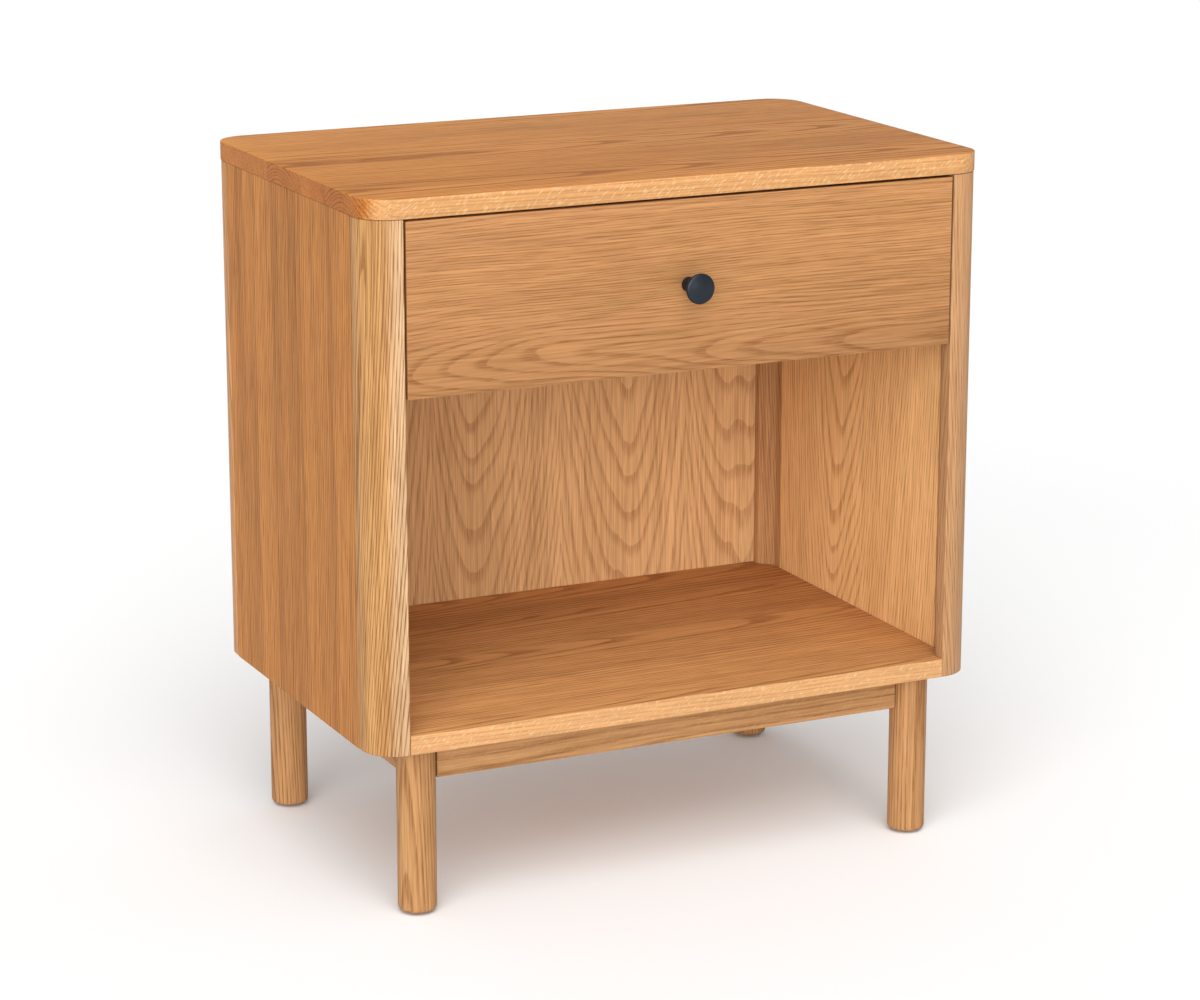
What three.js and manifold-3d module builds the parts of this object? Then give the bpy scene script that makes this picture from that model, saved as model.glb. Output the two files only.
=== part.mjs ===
// An oak bedside cabinet with one drawer over an open compartment, on a base of four round legs.
// Lengths are in millimetres. X runs to the right, Y to the back and Z up. The carcass is drawn
// about its own centre line and moved back by half of what the knob stands out, so that the
// origin is at the bottom centre of the whole object.
import * as THREE from "three";
import { mergeVertices } from "three/addons/utils/BufferGeometryUtils.js";
import Module from "manifold-3d";

const wasm = await Module();
wasm.setup();

// ---- Driving dimensions ----
const WIDTH = 550;
const DEPTH = 350;
const HEIGHT = 591;
const CORNER_RADIUS = 28;
const TOP_THICKNESS = 16;
const TOP_OVERHANG = 0.5;
const CARCASS_BASE = 143;
const SHELF_THICKNESS = 16;
const SIDE_THICKNESS = 18.7;
const POST_WIDTH = 30.5;
const POST_DEPTH = 35;
const POST_LIP = 13;
const BACK_THICKNESS = 4.5;
const BACK_REBATE_WIDTH = 6;
const BACK_REBATE_DEPTH = 5;
const TONGUE = 8;
const SHELF_TONGUE = 6;
const RAIL_WIDTH = 60;
const RAIL_THICKNESS = 18;
const RAIL_TENON_WIDTH = 25;
const RAIL_TENON_THICKNESS = 8;

const LEG_RADIUS = 16;
const LEG_FOOT_ROUND = 4;
const LEG_X = 228.5;
const LEG_Y = 146;
const GLIDE_RADIUS = 10;
const GLIDE_THICKNESS = 1.6;
const GLIDE_PIN_RADIUS = 1.2;
const GLIDE_PIN_TOP = 12;
const APRON_THICKNESS = 18;
const APRON_HEIGHT = 30;
const APRON_FACE_OFFSET = 5.5;
const APRON_TENON_THICKNESS = 8;
const APRON_TENON_LENGTH = 6.5;
const APRON_TENON_INSET = 5;
const BLOCK_START = 28;
const BLOCK_END = 54;
const BLOCK_HEIGHT = 25;

const DRAWER_SIDE_GAP = 1.7;
const DRAWER_TOP_GAP = 2;
const DRAWER_FRONT_BASE = 433;
const DRAWER_FRONT_THICKNESS = 18;
const BOX_HALF_WIDTH = 231.8;
const BOX_LENGTH = 300;
const BOX_BOARD = 12;
const BOX_BASE = 449;
const BOX_HEIGHT = 100;
const BOX_BOTTOM_THICKNESS = 5.8;
const BOX_BOTTOM_LIFT = 6;
const BOX_GROOVE = 6;
const TAIL_CENTRES = [18, 50, 82];
const TAIL_HALF_ROOT = 9;
const TAIL_HALF_END = 11.5;

const RUNNER_LENGTH = 300;
const RUNNER_CENTRE_Z = 497;
const RUNNER_METAL = 1.2;
const SPACER_HEIGHT = 50;

const KNOB_RADIUS = 12.5;
const KNOB_PROJECTION = 25;
const KNOB_Z = 504;
const KNOB_HOLE_RADIUS = 2.2;
const KNOB_HOLE_DEPTH = 12;

const GAP = 0.2; // left between glued or touching pieces
const HOLE_CLEARANCE = 0.3; // around a screw's shank
const ARC_STEPS = 10; // in a quarter circle
const ROUND_STEPS = 32; // around a leg
const SCREW_STEPS = 10;

// ---- Derived places ----
const HALF_WIDTH = WIDTH / 2;
const HALF_DEPTH = DEPTH / 2;
const TOP_BASE = HEIGHT - TOP_THICKNESS;
const CARCASS_TOP = TOP_BASE - GAP;
const SHELF_TOP = CARCASS_BASE + SHELF_THICKNESS;
const OPENING_HALF = HALF_WIDTH - POST_WIDTH;
const PANEL_INNER = HALF_WIDTH - SIDE_THICKNESS;
const POST_FACE = HALF_DEPTH - POST_DEPTH;
const LIP_Y = HALF_DEPTH - POST_LIP;
const CHAMFER_END_Y = LIP_Y - (PANEL_INNER - OPENING_HALF);
const TONGUE_X = (HALF_WIDTH + PANEL_INNER) / 2;
const BACK_FACE_Y = HALF_DEPTH - BACK_REBATE_DEPTH;
const RAIL_BASE = CARCASS_TOP - RAIL_THICKNESS;
const RAIL_FRONT_Y = -150;
const BASE_TOP = CARCASS_BASE - GAP;
const APRON_FACE_X = LEG_X + APRON_FACE_OFFSET;
const APRON_FACE_Y = LEG_Y + APRON_FACE_OFFSET;
const DRAWER_FACE_Y = -HALF_DEPTH;
const BOX_FRONT_Y = DRAWER_FACE_Y + DRAWER_FRONT_THICKNESS + GAP;
const BOX_BACK_Y = BOX_FRONT_Y + BOX_LENGTH;
const BOX_INNER_X = BOX_HALF_WIDTH - BOX_BOARD;
const RUNNER_FRONT_Y = -154;
const RUNNER_OUTER_X = OPENING_HALF - GAP;

// ---- Materials ----
const material = (color, roughness, metalness = 0) =>
  new THREE.MeshStandardMaterial({ color, roughness, metalness });
const solidOak = material(0xc98f58, 0.45);
const oakVeneer = material(0xc88d5a, 0.5);
const drawerWood = material(0xd8b483, 0.55);
const blackMetal = material(0x23282e, 0.35, 0.7);
const zincSteel = material(0xa9adb0, 0.35, 0.9);
const nylon = material(0x5a5148, 0.6);

// ---- Solid helpers ----
function toSolid(geometry) {
  const bare = geometry.clone();
  bare.deleteAttribute("normal");
  bare.deleteAttribute("uv");
  const merged = mergeVertices(bare, 1e-4);
  const mesh = new wasm.Mesh({
    numProp: 3,
    vertProperties: new Float32Array(merged.attributes.position.array),
    triVerts: new Uint32Array(merged.index.array),
  });
  return new wasm.Manifold(mesh);
}

function toGeometry(solid) {
  const mesh = solid.getMesh();
  const positions = new Float32Array(mesh.numVert * 3);
  for (let i = 0; i < mesh.numVert; i++) {
    const start = i * mesh.numProp;
    positions.set(mesh.vertProperties.subarray(start, start + 3), i * 3);
  }
  const geometry = new THREE.BufferGeometry();
  geometry.setAttribute("position", new THREE.BufferAttribute(positions, 3));
  geometry.setIndex(new THREE.BufferAttribute(mesh.triVerts.slice(), 1));
  return geometry;
}

const join = (first, ...others) =>
  toGeometry(others.reduce((solid, g) => solid.add(toSolid(g)), toSolid(first)));
const cut = (first, ...others) =>
  toGeometry(others.reduce((solid, g) => solid.subtract(toSolid(g)), toSolid(first)));

function block(x0, x1, y0, y1, z0, z1) {
  const geometry = new THREE.BoxGeometry(Math.abs(x1 - x0), Math.abs(y1 - y0), Math.abs(z1 - z0));
  return geometry.translate((x0 + x1) / 2, (y0 + y1) / 2, (z0 + z1) / 2);
}

// Extrudes an outline in the XY plane from z0 up to z1.
function prismZ(points, z0, z1) {
  const shape = new THREE.Shape(points.map(([x, y]) => new THREE.Vector2(x, y)));
  const geometry = new THREE.ExtrudeGeometry(shape, { depth: z1 - z0, bevelEnabled: false });
  return geometry.translate(0, 0, z0);
}

// Extrudes an outline of [x, z] points along Y from y0 to y1.
const prismY = (points, y0, y1) =>
  prismZ(points, 0, y1 - y0).rotateX(Math.PI / 2).translate(0, y1, 0);

// Extrudes an outline of [y, z] points along X from x0 to x1.
function prismX(points, x0, x1) {
  const turn = new THREE.Matrix4().makeBasis(
    new THREE.Vector3(0, 1, 0),
    new THREE.Vector3(0, 0, 1),
    new THREE.Vector3(1, 0, 0),
  );
  return prismZ(points, 0, x1 - x0).applyMatrix4(turn).translate(x0, 0, 0);
}

// A solid of revolution about Z from [radius, z] points.
function lathe(points, steps) {
  const profile = points.map(([r, z]) => new THREE.Vector2(r, z));
  return new THREE.LatheGeometry(profile, steps).rotateX(Math.PI / 2);
}

function arc(cx, cy, radius, from, to, steps = ARC_STEPS) {
  return Array.from({ length: steps + 1 }, (_, k) => {
    const angle = from + ((to - from) * k) / steps;
    return [cx + radius * Math.cos(angle), cy + radius * Math.sin(angle)];
  });
}

function roundedRectangle(halfX, halfY, radius) {
  const corners = [[1, 1], [-1, 1], [-1, -1], [1, -1]];
  return corners.flatMap(([sx, sy], quarter) =>
    arc(
      sx * (halfX - radius),
      sy * (halfY - radius),
      radius,
      (quarter * Math.PI) / 2,
      ((quarter + 1) * Math.PI) / 2,
    ),
  );
}

const mirrored = (points, sx, sy) => points.map(([x, y]) => [sx * x, sy * y]);

// A round rod from one end point to the other, which cuts a screw's hole.
function rod(radius, from, to, steps = SCREW_STEPS) {
  const start = new THREE.Vector3(...from);
  const along = new THREE.Vector3(...to).sub(start);
  const geometry = new THREE.CylinderGeometry(radius, radius, along.length(), steps);
  const turn = new THREE.Quaternion().setFromUnitVectors(
    new THREE.Vector3(0, 1, 0),
    along.clone().normalize(),
  );
  const middle = start.add(along.multiplyScalar(0.5));
  return geometry.applyQuaternion(turn).translate(middle.x, middle.y, middle.z);
}

// ---- The scene graph ----
const cabinet = new THREE.Group();
const carcass = new THREE.Group();
carcass.position.y = (KNOB_PROJECTION - TOP_OVERHANG) / 2;
cabinet.add(carcass);

function add(name, geometry, mat, position = [0, 0, 0], rotation = [0, 0, 0]) {
  const mesh = new THREE.Mesh(geometry, mat);
  mesh.name = name;
  mesh.position.set(...position);
  mesh.rotation.set(...rotation);
  carcass.add(mesh);
  return mesh;
}

const SIDES = [["left", -1], ["right", 1]];
const ENDS = [["front", -1], ["back", 1]];

// ---- Fasteners: a pan-head screw that points along +Z from the seat under its head ----
function screw(shank, length, head, headHeight) {
  return lathe(
    [
      [0, -headHeight],
      [head * 0.7, -headHeight],
      [head, -headHeight * 0.55],
      [head, 0],
      [shank, 0],
      [shank, length * 0.82],
      [0, length],
    ],
    SCREW_STEPS,
  );
}

// ---- Top panel, fixed from below through the two rails ----
const TOP_SCREW = { shank: 2, length: RAIL_THICKNESS + 9, head: 4, headHeight: 2.4 };
const RAIL_MIDDLE = -RAIL_FRONT_Y - RAIL_WIDTH / 2;
const TOP_SCREWS = [
  ["front_left", -150, -RAIL_MIDDLE],
  ["front_right", 150, -RAIL_MIDDLE],
  ["back", 0, RAIL_MIDDLE],
];

function topPanel() {
  const outline = roundedRectangle(
    HALF_WIDTH + TOP_OVERHANG,
    HALF_DEPTH + TOP_OVERHANG,
    CORNER_RADIUS + TOP_OVERHANG,
  );
  const pilots = TOP_SCREWS.map(([, x, y]) =>
    rod(
      TOP_SCREW.shank + HOLE_CLEARANCE,
      [x, y, TOP_BASE - 1],
      [x, y, RAIL_BASE + TOP_SCREW.length + HOLE_CLEARANCE],
    ),
  );
  return cut(prismZ(outline, TOP_BASE, HEIGHT), ...pilots);
}

function topRail(end) {
  const y0 = end * -RAIL_FRONT_Y;
  const y1 = end * (-RAIL_FRONT_Y - RAIL_WIDTH);
  const board = block(-PANEL_INNER + GAP, PANEL_INNER - GAP, y0, y1, RAIL_BASE, CARCASS_TOP);
  const middleZ = RAIL_BASE + RAIL_THICKNESS / 2;
  const tenon = block(
    -PANEL_INNER - SHELF_TONGUE,
    PANEL_INNER + SHELF_TONGUE,
    end * RAIL_MIDDLE - RAIL_TENON_WIDTH / 2,
    end * RAIL_MIDDLE + RAIL_TENON_WIDTH / 2,
    middleZ - RAIL_TENON_THICKNESS / 2,
    middleZ + RAIL_TENON_THICKNESS / 2,
  );
  const holes = TOP_SCREWS.filter(([, , y]) => y * end > 0).map(([, x, y]) =>
    rod(TOP_SCREW.shank + HOLE_CLEARANCE, [x, y, RAIL_BASE - 1], [x, y, CARCASS_TOP + 1]),
  );
  return cut(join(board, tenon), ...holes);
}

add("top_panel", topPanel(), solidOak);
for (const [end, sign] of ENDS) add(`${end}_top_rail`, topRail(sign), drawerWood);
for (const [place, x, y] of TOP_SCREWS) {
  const geometry = screw(
    TOP_SCREW.shank,
    TOP_SCREW.length,
    TOP_SCREW.head,
    TOP_SCREW.headHeight,
  );
  add(`top_screw_${place}`, geometry, zincSteel, [x, y, RAIL_BASE - GAP]);
}

// ---- Corner posts: a quarter-round outside, a diagonal face inside, a groove for the side ----
function postOutline(hasRebate) {
  const cx = HALF_WIDTH - CORNER_RADIUS;
  const cy = HALF_DEPTH - CORNER_RADIUS;
  const rebateX = OPENING_HALF + BACK_REBATE_WIDTH;
  const rebateAngle = Math.acos((rebateX - cx) / CORNER_RADIUS);
  const innerEnd = hasRebate
    ? [
        [OPENING_HALF, BACK_FACE_Y],
        [rebateX, BACK_FACE_Y],
      ]
    : [[OPENING_HALF, HALF_DEPTH]];
  const start = hasRebate ? rebateAngle : Math.PI / 2;
  const grooveHalf = TONGUE / 2 + GAP;
  const grooveY = POST_FACE + TONGUE + GAP;
  return [
    ...innerEnd,
    ...arc(cx, cy, CORNER_RADIUS, start, 0),
    [HALF_WIDTH, POST_FACE],
    [TONGUE_X + grooveHalf, POST_FACE],
    [TONGUE_X + grooveHalf, grooveY],
    [TONGUE_X - grooveHalf, grooveY],
    [TONGUE_X - grooveHalf, POST_FACE],
    [PANEL_INNER, POST_FACE],
    [PANEL_INNER, CHAMFER_END_Y],
    [OPENING_HALF, LIP_Y],
  ];
}

for (const [end, sy] of ENDS) {
  for (const [side, sx] of SIDES) {
    const outline = mirrored(postOutline(end === "back"), sx, sy);
    add(`${end}_${side}_post`, prismZ(outline, CARCASS_BASE, CARCASS_TOP), solidOak);
  }
}

// ---- Side panels: tongued into the posts, grooved for the shelf, pocketed for the rails ----
const SHELF_TONGUE_Z = CARCASS_BASE + SHELF_THICKNESS / 2;
const SPACER_SCREW_Y = [-120, 105];

function sidePanel(sign) {
  const edge = POST_FACE - GAP;
  const outline = [
    [HALF_WIDTH, -edge],
    [HALF_WIDTH, edge],
    [TONGUE_X + TONGUE / 2, edge],
    [TONGUE_X + TONGUE / 2, edge + TONGUE],
    [TONGUE_X - TONGUE / 2, edge + TONGUE],
    [TONGUE_X - TONGUE / 2, edge],
    [PANEL_INNER, edge],
    [PANEL_INNER, -edge],
    [TONGUE_X - TONGUE / 2, -edge],
    [TONGUE_X - TONGUE / 2, -edge - TONGUE],
    [TONGUE_X + TONGUE / 2, -edge - TONGUE],
    [TONGUE_X + TONGUE / 2, -edge],
  ];
  const board = prismZ(mirrored(outline, sign, 1), CARCASS_BASE, CARCASS_TOP);
  const pocketEnd = sign * (PANEL_INNER + SHELF_TONGUE + GAP);
  const shelfGroove = block(
    sign * (PANEL_INNER - 1),
    pocketEnd,
    -POST_FACE - TONGUE - 1,
    POST_FACE + TONGUE + 1,
    SHELF_TONGUE_Z - SHELF_TONGUE / 2 - GAP,
    SHELF_TONGUE_Z + SHELF_TONGUE / 2 + GAP,
  );
  const middleZ = RAIL_BASE + RAIL_THICKNESS / 2;
  const railPockets = ENDS.map(([, end]) =>
    block(
      sign * (PANEL_INNER - 1),
      pocketEnd,
      end * RAIL_MIDDLE - RAIL_TENON_WIDTH / 2 - GAP,
      end * RAIL_MIDDLE + RAIL_TENON_WIDTH / 2 + GAP,
      middleZ - RAIL_TENON_THICKNESS / 2 - GAP,
      middleZ + RAIL_TENON_THICKNESS / 2 + GAP,
    ),
  );
  return cut(board, shelfGroove, ...railPockets);
}

for (const [side, sign] of SIDES) add(`${side}_side_panel`, sidePanel(sign), oakVeneer);

// ---- Base screws rise through the corner blocks into the shelf ----
const BLOCK_CORNER_X = APRON_FACE_X - APRON_THICKNESS - GAP;
const BLOCK_CORNER_Y = APRON_FACE_Y - APRON_THICKNESS - GAP;
const BLOCK_MIDDLE = (BLOCK_START + BLOCK_END) / 4;
const BASE_SCREW_X = BLOCK_CORNER_X - BLOCK_MIDDLE;
const BASE_SCREW_Y = BLOCK_CORNER_Y - BLOCK_MIDDLE;
const BASE_SCREW = { shank: 2.2, length: BLOCK_HEIGHT + 10, head: 4.4, headHeight: 2.6 };
const BLOCK_BASE = BASE_TOP - BLOCK_HEIGHT;

function baseScrewHole(sx, sy) {
  const x = sx * BASE_SCREW_X;
  const y = sy * BASE_SCREW_Y;
  const end = BLOCK_BASE + BASE_SCREW.length + HOLE_CLEARANCE;
  return rod(BASE_SCREW.shank + HOLE_CLEARANCE, [x, y, BLOCK_BASE - 1], [x, y, end]);
}

// ---- Bottom shelf: fits around the posts, tongued into the sides, rebated for the back ----
function bottomShelf() {
  const frontHalf = OPENING_HALF - GAP;
  const sideHalf = PANEL_INNER - GAP;
  const quarter = [
    [frontHalf, HALF_DEPTH],
    [frontHalf, LIP_Y - GAP],
    [sideHalf, CHAMFER_END_Y - GAP],
  ];
  const outline = [
    ...quarter,
    ...mirrored(quarter, 1, -1).reverse(),
    ...mirrored(quarter, -1, -1),
    ...mirrored(quarter, -1, 1).reverse(),
  ];
  const tongue = block(
    -PANEL_INNER - SHELF_TONGUE,
    PANEL_INNER + SHELF_TONGUE,
    -POST_FACE + GAP,
    POST_FACE - GAP,
    SHELF_TONGUE_Z - SHELF_TONGUE / 2,
    SHELF_TONGUE_Z + SHELF_TONGUE / 2,
  );
  const rebate = block(
    -HALF_WIDTH,
    HALF_WIDTH,
    BACK_FACE_Y,
    HALF_DEPTH + 1,
    CARCASS_BASE + SHELF_THICKNESS / 2,
    SHELF_TOP + 1,
  );
  const pilots = ENDS.flatMap(([, sy]) => SIDES.map(([, sx]) => baseScrewHole(sx, sy)));
  return cut(join(prismZ(outline, CARCASS_BASE, SHELF_TOP), tongue), rebate, ...pilots);
}

add("bottom_shelf", bottomShelf(), solidOak);

const backHalf = OPENING_HALF + BACK_REBATE_WIDTH - GAP;
add(
  "back_panel",
  block(
    -backHalf,
    backHalf,
    BACK_FACE_Y + GAP,
    BACK_FACE_Y + GAP + BACK_THICKNESS,
    CARCASS_BASE + SHELF_THICKNESS / 2 + GAP,
    CARCASS_TOP,
  ),
  oakVeneer,
);

// ---- Base: round legs, tenoned aprons, corner blocks, screws and nail-in glides ----
const TENON_CENTRE = APRON_THICKNESS / 2 - APRON_FACE_OFFSET;
const TENON_LOW = BASE_TOP - APRON_HEIGHT + APRON_TENON_INSET;
const TENON_HIGH = BASE_TOP - APRON_TENON_INSET;
const SHOULDER = LEG_RADIUS + GAP;
const LEG_BASE = GLIDE_THICKNESS + GAP;

// A leg about its own axis, with mortises on the sides that face the middle of the base.
function leg(sx, sy) {
  const foot = arc(
    LEG_RADIUS - LEG_FOOT_ROUND,
    LEG_BASE + LEG_FOOT_ROUND,
    LEG_FOOT_ROUND,
    -Math.PI / 2,
    0,
    4,
  );
  const turned = lathe([[0, LEG_BASE], ...foot, [LEG_RADIUS, BASE_TOP], [0, BASE_TOP]], ROUND_STEPS);
  const near = SHOULDER - APRON_TENON_LENGTH - GAP;
  const low = TENON_CENTRE - APRON_TENON_THICKNESS / 2 - GAP;
  const high = TENON_CENTRE + APRON_TENON_THICKNESS / 2 + GAP;
  const mortises = [
    block(-sx * near, -sx * 2 * LEG_RADIUS, -sy * low, -sy * high, TENON_LOW - GAP, TENON_HIGH + GAP),
    block(-sx * low, -sx * high, -sy * near, -sy * 2 * LEG_RADIUS, TENON_LOW - GAP, TENON_HIGH + GAP),
  ];
  const pinHole = rod(GLIDE_PIN_RADIUS + HOLE_CLEARANCE, [0, 0, 0], [0, 0, GLIDE_PIN_TOP + GAP]);
  return cut(turned, ...mortises, pinHole);
}

const glide = lathe(
  [
    [0, 0],
    [GLIDE_RADIUS - 0.8, 0],
    [GLIDE_RADIUS, 0.8],
    [GLIDE_RADIUS, GLIDE_THICKNESS],
    [GLIDE_PIN_RADIUS, GLIDE_THICKNESS],
    [GLIDE_PIN_RADIUS, GLIDE_PIN_TOP - 2],
    [0, GLIDE_PIN_TOP],
  ],
  20,
);

function cornerBlock(sx, sy) {
  const outline = [
    [BLOCK_CORNER_X, BLOCK_CORNER_Y - BLOCK_START],
    [BLOCK_CORNER_X, BLOCK_CORNER_Y - BLOCK_END],
    [BLOCK_CORNER_X - BLOCK_END, BLOCK_CORNER_Y],
    [BLOCK_CORNER_X - BLOCK_START, BLOCK_CORNER_Y],
  ];
  return cut(prismZ(mirrored(outline, sx, sy), BLOCK_BASE, BASE_TOP), baseScrewHole(sx, sy));
}

for (const [end, sy] of ENDS) {
  for (const [side, sx] of SIDES) {
    add(`${end}_${side}_leg`, leg(sx, sy), solidOak, [sx * LEG_X, sy * LEG_Y, 0]);
    add(`${end}_${side}_glide`, glide, nylon, [sx * LEG_X, sy * LEG_Y, 0]);
    add(`${end}_${side}_corner_block`, cornerBlock(sx, sy), drawerWood);
    add(
      `${end}_${side}_base_screw`,
      screw(BASE_SCREW.shank, BASE_SCREW.length, BASE_SCREW.head, BASE_SCREW.headHeight),
      zincSteel,
      [sx * BASE_SCREW_X, sy * BASE_SCREW_Y, BLOCK_BASE - GAP],
    );
  }
}

// An apron that runs along X, with a tenon at each end, seen from its outer face at y = 0.
function apron(legDistance) {
  const half = legDistance - SHOULDER;
  const board = block(-half, half, 0, APRON_THICKNESS, BASE_TOP - APRON_HEIGHT, BASE_TOP);
  const middle = APRON_THICKNESS / 2;
  const tenon = block(
    -half - APRON_TENON_LENGTH,
    half + APRON_TENON_LENGTH,
    middle - APRON_TENON_THICKNESS / 2,
    middle + APRON_TENON_THICKNESS / 2,
    TENON_LOW,
    TENON_HIGH,
  );
  return join(board, tenon);
}

add("front_apron", apron(LEG_X), solidOak, [0, -APRON_FACE_Y, 0]);
add("back_apron", apron(LEG_X), solidOak, [0, APRON_FACE_Y, 0], [0, 0, Math.PI]);
add("left_apron", apron(LEG_Y), solidOak, [-APRON_FACE_X, 0, 0], [0, 0, -Math.PI / 2]);
add("right_apron", apron(LEG_Y), solidOak, [APRON_FACE_X, 0, 0], [0, 0, Math.PI / 2]);

// ---- Drawer runners: three nested channels a side, on a packing batten ----
const spacerOuter = PANEL_INNER - GAP;
const spacerInner = OPENING_HALF;
const CABINET_SCREW = { shank: 1.7, length: 11, head: 3.4, headHeight: 0.9 };
const DRAWER_SCREW = { shank: 1.7, length: 9.5, head: 3.4, headHeight: 1.6 };
const DRAWER_SCREW_Y = [-95, 80];

// A channel section of [x, z] points: a web at x = 0 with two flanges that run to x = reach.
function channel(halfHeight, reach) {
  const t = RUNNER_METAL * Math.sign(reach);
  const inner = halfHeight - RUNNER_METAL;
  return [
    [0, -halfHeight],
    [reach, -halfHeight],
    [reach, -inner],
    [t, -inner],
    [t, inner],
    [reach, inner],
    [reach, halfHeight],
    [0, halfHeight],
  ];
}

function runnerMember(sign, halfHeight, webX, reach, screwYs, shank) {
  const section = mirrored(channel(halfHeight, reach), sign, 1);
  const body = prismY(section, RUNNER_FRONT_Y, RUNNER_FRONT_Y + RUNNER_LENGTH).translate(
    sign * webX,
    0,
    RUNNER_CENTRE_Z,
  );
  const holes = screwYs.map((y) =>
    rod(
      shank + HOLE_CLEARANCE,
      [sign * (webX - 3), y, RUNNER_CENTRE_Z],
      [sign * (webX + 3), y, RUNNER_CENTRE_Z],
    ),
  );
  return cut(body, ...holes);
}

function runnerSpacer(sign) {
  const board = block(
    sign * spacerInner,
    sign * spacerOuter,
    RAIL_FRONT_Y + 1,
    -RAIL_FRONT_Y - 1,
    RUNNER_CENTRE_Z - SPACER_HEIGHT / 2,
    RUNNER_CENTRE_Z + SPACER_HEIGHT / 2,
  );
  const holes = SPACER_SCREW_Y.map((y) =>
    rod(
      CABINET_SCREW.shank + HOLE_CLEARANCE,
      [sign * (spacerInner - 1), y, RUNNER_CENTRE_Z],
      [sign * (spacerInner + CABINET_SCREW.length), y, RUNNER_CENTRE_Z],
    ),
  );
  return cut(board, ...holes);
}

const INNER_WEB_X = BOX_HALF_WIDTH + GAP;
for (const [side, sign] of SIDES) {
  add(`${side}_runner_spacer`, runnerSpacer(sign), drawerWood);
  const outer = runnerMember(
    sign, 22.5, RUNNER_OUTER_X, -11, SPACER_SCREW_Y, CABINET_SCREW.shank,
  );
  const middle = runnerMember(sign, 19, RUNNER_OUTER_X - 3, -8, [], 0);
  const inner = runnerMember(sign, 14.5, INNER_WEB_X, 7, DRAWER_SCREW_Y, DRAWER_SCREW.shank);
  add(`${side}_runner_outer`, outer, zincSteel);
  add(`${side}_runner_middle`, middle, zincSteel);
  add(`${side}_runner_inner`, inner, zincSteel);
  ENDS.forEach(([end], index) => {
    const cabinetScrew = screw(
      CABINET_SCREW.shank, CABINET_SCREW.length, CABINET_SCREW.head, CABINET_SCREW.headHeight,
    );
    const drawerScrew = screw(
      DRAWER_SCREW.shank, DRAWER_SCREW.length, DRAWER_SCREW.head, DRAWER_SCREW.headHeight,
    );
    const cabinetSeat = RUNNER_OUTER_X - RUNNER_METAL - GAP;
    const drawerSeat = INNER_WEB_X + RUNNER_METAL + GAP;
    add(
      `${side}_cabinet_screw_${end}`,
      cabinetScrew,
      zincSteel,
      [sign * cabinetSeat, SPACER_SCREW_Y[index], RUNNER_CENTRE_Z],
      [0, (sign * Math.PI) / 2, 0],
    );
    add(
      `${side}_drawer_screw_${end}`,
      drawerScrew,
      zincSteel,
      [sign * drawerSeat, DRAWER_SCREW_Y[index], RUNNER_CENTRE_Z],
      [0, (-sign * Math.PI) / 2, 0],
    );
  });
}

// ---- Drawer: a dovetailed box behind a separate front ----
const FRONT_SCREW = { shank: 1.9, length: 24, head: 4, headHeight: 2.4 };
const FRONT_SCREW_X = 150;
const KNOB_SCREW = { shank: 1.9, length: 40, head: 4.4, headHeight: 2.4 };
const BOX_INNER_FRONT_Y = BOX_FRONT_Y + BOX_BOARD;
const BOX_INNER_BACK_Y = BOX_BACK_Y - BOX_BOARD;
const BOTTOM_BASE = BOX_BASE + BOX_BOTTOM_LIFT;

// The tails at one end of a side board, as prisms across its thickness, grown by a margin.
function tails(sign, yRoot, direction, margin) {
  const yEnd = yRoot + direction * BOX_BOARD;
  const overlap = direction * 2;
  const slope = (TAIL_HALF_END - TAIL_HALF_ROOT) / BOX_BOARD;
  const x0 = BOX_INNER_X - margin;
  const x1 = BOX_HALF_WIDTH + margin;
  return TAIL_CENTRES.map((centre) => {
    const z = BOX_BASE + centre;
    const root = TAIL_HALF_ROOT - slope * 2 + margin;
    const end = TAIL_HALF_END + margin + slope * margin;
    const yTip = yEnd + direction * margin;
    const points = [
      [yRoot - overlap, z - root],
      [yTip, z - end],
      [yTip, z + end],
      [yRoot - overlap, z + root],
    ];
    return prismX(points, Math.min(sign * x0, sign * x1), Math.max(sign * x0, sign * x1));
  });
}

function bottomGroove() {
  return block(
    -BOX_INNER_X - BOX_GROOVE,
    BOX_INNER_X + BOX_GROOVE,
    BOX_INNER_FRONT_Y - BOX_GROOVE,
    BOX_INNER_BACK_Y + BOX_GROOVE,
    BOTTOM_BASE - GAP,
    BOTTOM_BASE + BOX_BOTTOM_THICKNESS + GAP,
  );
}

function drawerSide(sign) {
  const board = block(
    sign * BOX_INNER_X,
    sign * BOX_HALF_WIDTH,
    BOX_INNER_FRONT_Y + GAP,
    BOX_INNER_BACK_Y - GAP,
    BOX_BASE,
    BOX_BASE + BOX_HEIGHT,
  );
  const frontTails = tails(sign, BOX_INNER_FRONT_Y, -1, 0);
  const backTails = tails(sign, BOX_INNER_BACK_Y, 1, 0);
  const holes = DRAWER_SCREW_Y.map((y) =>
    rod(
      DRAWER_SCREW.shank + HOLE_CLEARANCE,
      [sign * (BOX_HALF_WIDTH + 1), y, RUNNER_CENTRE_Z],
      [sign * (INNER_WEB_X + RUNNER_METAL - DRAWER_SCREW.length), y, RUNNER_CENTRE_Z],
    ),
  );
  return cut(join(board, ...frontTails, ...backTails), bottomGroove(), ...holes);
}

function drawerEnd(yOuter, yInner, direction) {
  const board = block(
    -BOX_HALF_WIDTH,
    BOX_HALF_WIDTH,
    yOuter,
    yInner,
    BOX_BASE,
    BOX_BASE + BOX_HEIGHT,
  );
  const sockets = SIDES.flatMap(([, sign]) => tails(sign, yInner, direction, GAP));
  return cut(board, bottomGroove(), ...sockets);
}

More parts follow.
